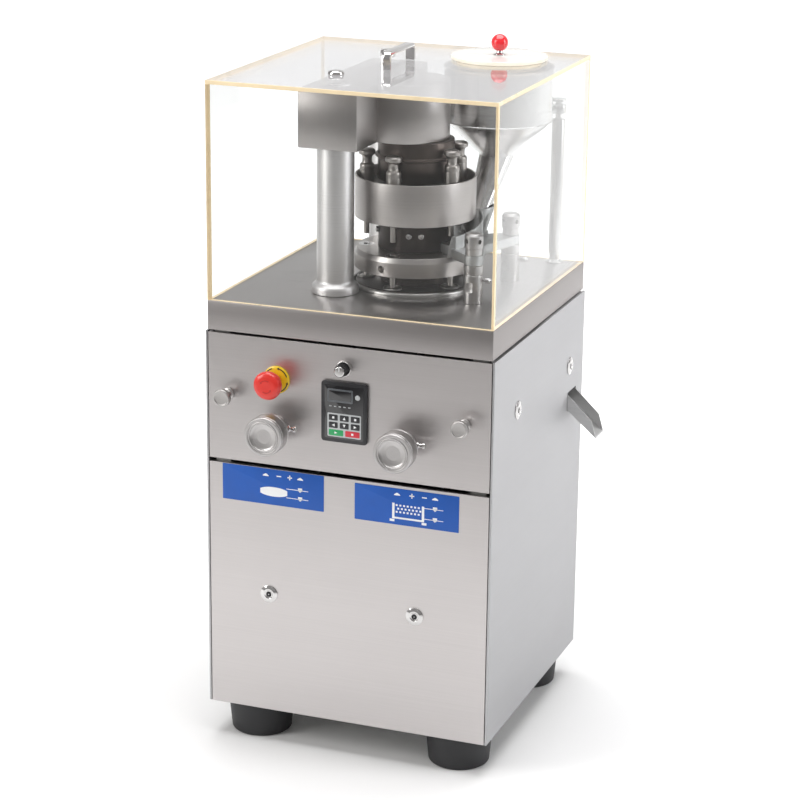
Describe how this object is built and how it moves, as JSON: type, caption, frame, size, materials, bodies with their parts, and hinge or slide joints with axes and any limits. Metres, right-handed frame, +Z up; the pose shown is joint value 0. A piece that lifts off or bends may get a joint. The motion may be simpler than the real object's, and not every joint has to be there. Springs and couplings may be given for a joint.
{
  "type": "tablet press",
  "caption": "Small rotary tablet press: brushed stainless cabinet with a punch turret, head and hopper under a clear guard, with front handwheels and a side chute.",
  "frame": {"origin": "middle of the overall plan at floor level", "axes": "+Z up, front panel faces -Y, chute leaves on the +X side"},
  "size_m": [0.539, 0.542, 1.1423],
  "materials": {
    "frame_steel": "satin",
    "foot_rubber": "matte",
    "brushed_sheet": "brushed",
    "polished_steel": "polished",
    "turned_steel": "turned",
    "dark_steel": "oiled",
    "bronze": "satin",
    "painted_castings": "satin",
    "belt_rubber": "matte",
    "feeder_alloy": "satin",
    "clear_acrylic": "gloss",
    "chrome_trim": "polished",
    "black_plastic": "satin",
    "red_plastic": "gloss"
  },
  "bodies": {
    "press_frame": {"base_frame": "frame_steel", "foot_front_left": "foot_rubber", "foot_front_right": "foot_rubber", "foot_rear_left": "foot_rubber", "foot_rear_right": "foot_rubber", "control_panel": "brushed_sheet", "rear_panel": "brushed_sheet", "table_top": "brushed_sheet", "front_column": "polished_steel", "rear_column": "polished_steel", "head_housing": "brushed_sheet", "upper_cam_drum": "dark_steel", "lower_cam_track": "dark_steel", "gearbox_housing": "painted_castings", "motor": "painted_castings", "drive_belt": "belt_rubber", "hopper": "polished_steel", "hopper_stand": "polished_steel", "feeder_frame": "feeder_alloy", "feeder_post_front": "polished_steel", "feeder_post_rear": "polished_steel", "emergency_stop_body": "black_plastic", "speed_controller": "black_plastic"},
    "turret": {"main_shaft": "polished_steel", "die_table": "turned_steel", "upper_turret": "dark_steel", "turret_guard_ring": "turned_steel"},
    "worm_shaft": {"worm_shaft": "dark_steel"},
    "motor_shaft": {"motor_shaft": "dark_steel"},
    "upper_roller": {"upper_roller": "polished_steel"},
    "pressure_eccentric": {"lower_roller_shaft": "dark_steel"},
    "lower_roller": {"lower_roller": "polished_steel"},
    "pressure_handwheel": {"pressure_handwheel": "turned_steel"},
    "fill_handwheel": {"fill_handwheel": "turned_steel"},
    "fill_cam": {"fill_cam": "bronze"},
    "emergency_stop_button": {"emergency_stop_button": "red_plastic"},
    "speed_dial": {"speed_dial": "black_plastic"},
    "panel_knob_left": {"panel_knob_left": "turned_steel"},
    "panel_knob_right": {"panel_knob_right": "turned_steel"},
    "lower_door": {"lower_door": "brushed_sheet"},
    "door_lock_left": {"door_lock_left": "chrome_trim"},
    "door_lock_right": {"door_lock_right": "chrome_trim"},
    "side_panel_right": {"side_panel_right": "brushed_sheet", "discharge_chute": "brushed_sheet"},
    "side_lock_front": {"side_lock_front": "chrome_trim"},
    "side_lock_rear": {"side_lock_rear": "chrome_trim"},
    "side_panel_left": {"side_panel_left": "brushed_sheet"},
    "guard_cover": {"guard_cover": "clear_acrylic", "cover_handle": "chrome_trim"},
    "hopper_lid": {"hopper_lid": "clear_acrylic"},
    "upper_punch_1": {"upper_punch_1": "polished_steel"},
    "lower_punch_1": {"lower_punch_1": "polished_steel"},
    "upper_punch_2": {"upper_punch_2": "polished_steel"},
    "lower_punch_2": {"lower_punch_2": "polished_steel"},
    "upper_punch_3": {"upper_punch_3": "polished_steel"},
    "lower_punch_3": {"lower_punch_3": "polished_steel"},
    "upper_punch_4": {"upper_punch_4": "polished_steel"},
    "lower_punch_4": {"lower_punch_4": "polished_steel"},
    "upper_punch_5": {"upper_punch_5": "polished_steel"},
    "lower_punch_5": {"lower_punch_5": "polished_steel"}
  },
  "joints": [
    {"name": "turret_spin", "type": "hinge", "parent": "press_frame", "child": "turret", "pos_m": [-0.002, 0.026, 0.8], "axis": [0, 0, 1], "continuous": true},
    {"name": "worm_shaft_spin", "type": "hinge", "parent": "press_frame", "child": "worm_shaft", "pos_m": [0.058, 0.061, 0.55], "axis": [0, 1, 0], "continuous": true},
    {"name": "motor_shaft_spin", "type": "hinge", "parent": "press_frame", "child": "motor_shaft", "pos_m": [0.058, 0.091, 0.19], "axis": [0, 1, 0], "continuous": true},
    {"name": "upper_punch_1_slide", "type": "slide", "parent": "turret", "child": "upper_punch_1", "axis": [0, 0, 1], "range_m": [-0.026, 0.008]},
    {"name": "lower_punch_1_slide", "type": "slide", "parent": "turret", "child": "lower_punch_1", "axis": [0, 0, 1], "range_m": [0, 0.012]},
    {"name": "upper_punch_2_slide", "type": "slide", "parent": "turret", "child": "upper_punch_2", "axis": [0, 0, 1], "range_m": [-0.012, 0.004]},
    {"name": "lower_punch_2_slide", "type": "slide", "parent": "turret", "child": "lower_punch_2", "axis": [0, 0, 1], "range_m": [0, 0.012]},
    {"name": "upper_punch_3_slide", "type": "slide", "parent": "turret", "child": "upper_punch_3", "axis": [0, 0, 1], "range_m": [-0.008, 0.008]},
    {"name": "lower_punch_3_slide", "type": "slide", "parent": "turret", "child": "lower_punch_3", "axis": [0, 0, 1], "range_m": [0, 0.012]},
    {"name": "upper_punch_4_slide", "type": "slide", "parent": "turret", "child": "upper_punch_4", "axis": [0, 0, 1], "range_m": [-0.026, 0.008]},
    {"name": "lower_punch_4_slide", "type": "slide", "parent": "turret", "child": "lower_punch_4", "axis": [0, 0, 1], "range_m": [0, 0.012]},
    {"name": "upper_punch_5_slide", "type": "slide", "parent": "turret", "child": "upper_punch_5", "axis": [0, 0, 1], "range_m": [-0.02, 0.008]},
    {"name": "lower_punch_5_slide", "type": "slide", "parent": "turret", "child": "lower_punch_5", "axis": [0, 0, 1], "range_m": [0, 0.012]},
    {"name": "upper_roller_spin", "type": "hinge", "parent": "press_frame", "child": "upper_roller", "pos_m": [-0.082, 0.026, 1.028], "axis": [1, 0, 0], "continuous": true},
    {"name": "pressure_eccentric_turn", "type": "hinge", "parent": "press_frame", "child": "pressure_eccentric", "pos_m": [-0.082, 0.026, 0.624], "axis": [1, 0, 0], "range_deg": [-18, 18]},
    {"name": "lower_roller_spin", "type": "hinge", "parent": "pressure_eccentric", "child": "lower_roller", "pos_m": [-0.082, 0.029, 0.624], "axis": [1, 0, 0], "continuous": true},
    {"name": "pressure_handwheel_turn", "type": "hinge", "parent": "press_frame", "child": "pressure_handwheel", "pos_m": [-0.144, -0.257, 0.554], "axis": [0, -1, 0], "range_deg": [-360, 360]},
    {"name": "fill_handwheel_turn", "type": "hinge", "parent": "press_frame", "child": "fill_handwheel", "pos_m": [0.074, -0.257, 0.554], "axis": [0, -1, 0], "range_deg": [-360, 360]},
    {"name": "fill_cam_lift", "type": "slide", "parent": "press_frame", "child": "fill_cam", "axis": [0, 0, 1], "range_m": [-0.0015, 0.0015]},
    {"name": "emergency_stop_press", "type": "slide", "parent": "press_frame", "child": "emergency_stop_button", "axis": [0, 1, 0], "range_m": [0, 0.006], "stiffness_N_per_m": 600},
    {"name": "speed_dial_turn", "type": "hinge", "parent": "press_frame", "child": "speed_dial", "pos_m": [-0.03, -0.224, 0.664], "axis": [0, -1, 0], "range_deg": [-150, 150]},
    {"name": "panel_knob_left_turn", "type": "hinge", "parent": "press_frame", "child": "panel_knob_left", "pos_m": [-0.23, -0.229, 0.599], "axis": [0, -1, 0], "range_deg": [0, 360]},
    {"name": "panel_knob_right_turn", "type": "hinge", "parent": "press_frame", "child": "panel_knob_right", "pos_m": [0.171, -0.229, 0.595], "axis": [0, -1, 0], "range_deg": [0, 360]},
    {"name": "lower_door_pull_off", "type": "slide", "parent": "press_frame", "child": "lower_door", "axis": [0, -1, 0], "range_m": [0, 0.2]},
    {"name": "door_lock_left_turn", "type": "hinge", "parent": "lower_door", "child": "door_lock_left", "pos_m": [-0.161, -0.209, 0.265], "axis": [0, -1, 0], "range_deg": [0, 90]},
    {"name": "door_lock_right_turn", "type": "hinge", "parent": "lower_door", "child": "door_lock_right", "pos_m": [0.092, -0.209, 0.264], "axis": [0, -1, 0], "range_deg": [-90, 0]},
    {"name": "side_panel_right_pull_off", "type": "slide", "parent": "press_frame", "child": "side_panel_right", "axis": [1, 0, 0], "range_m": [0, 0.15]},
    {"name": "side_lock_front_turn", "type": "hinge", "parent": "side_panel_right", "child": "side_lock_front", "pos_m": [0.2175, -0.088, 0.59], "axis": [1, 0, 0], "range_deg": [0, 90]},
    {"name": "side_lock_rear_turn", "type": "hinge", "parent": "side_panel_right", "child": "side_lock_rear", "pos_m": [0.2175, 0.194, 0.587], "axis": [1, 0, 0], "range_deg": [-90, 0]},
    {"name": "side_panel_left_pull_off", "type": "slide", "parent": "press_frame", "child": "side_panel_left", "axis": [-1, 0, 0], "range_m": [0, 0.15]},
    {"name": "guard_cover_lift", "type": "slide", "parent": "press_frame", "child": "guard_cover", "axis": [0, 0, 1], "range_m": [0, 0.38]},
    {"name": "hopper_lid_lift", "type": "slide", "parent": "guard_cover", "child": "hopper_lid", "axis": [0, 0, 1], "range_m": [0, 0.15]}
  ],
  "couplings": [
    {"joint": "turret_spin", "follows": "worm_shaft_spin", "ratio": 0.033333},
    {"joint": "motor_shaft_spin", "follows": "worm_shaft_spin", "ratio": 1.4},
    {"joint": "pressure_eccentric_turn", "follows": "pressure_handwheel_turn", "ratio": 0.05},
    {"joint": "fill_cam_lift", "follows": "fill_handwheel_turn", "m_per_rad": 0.000238}
  ]
}
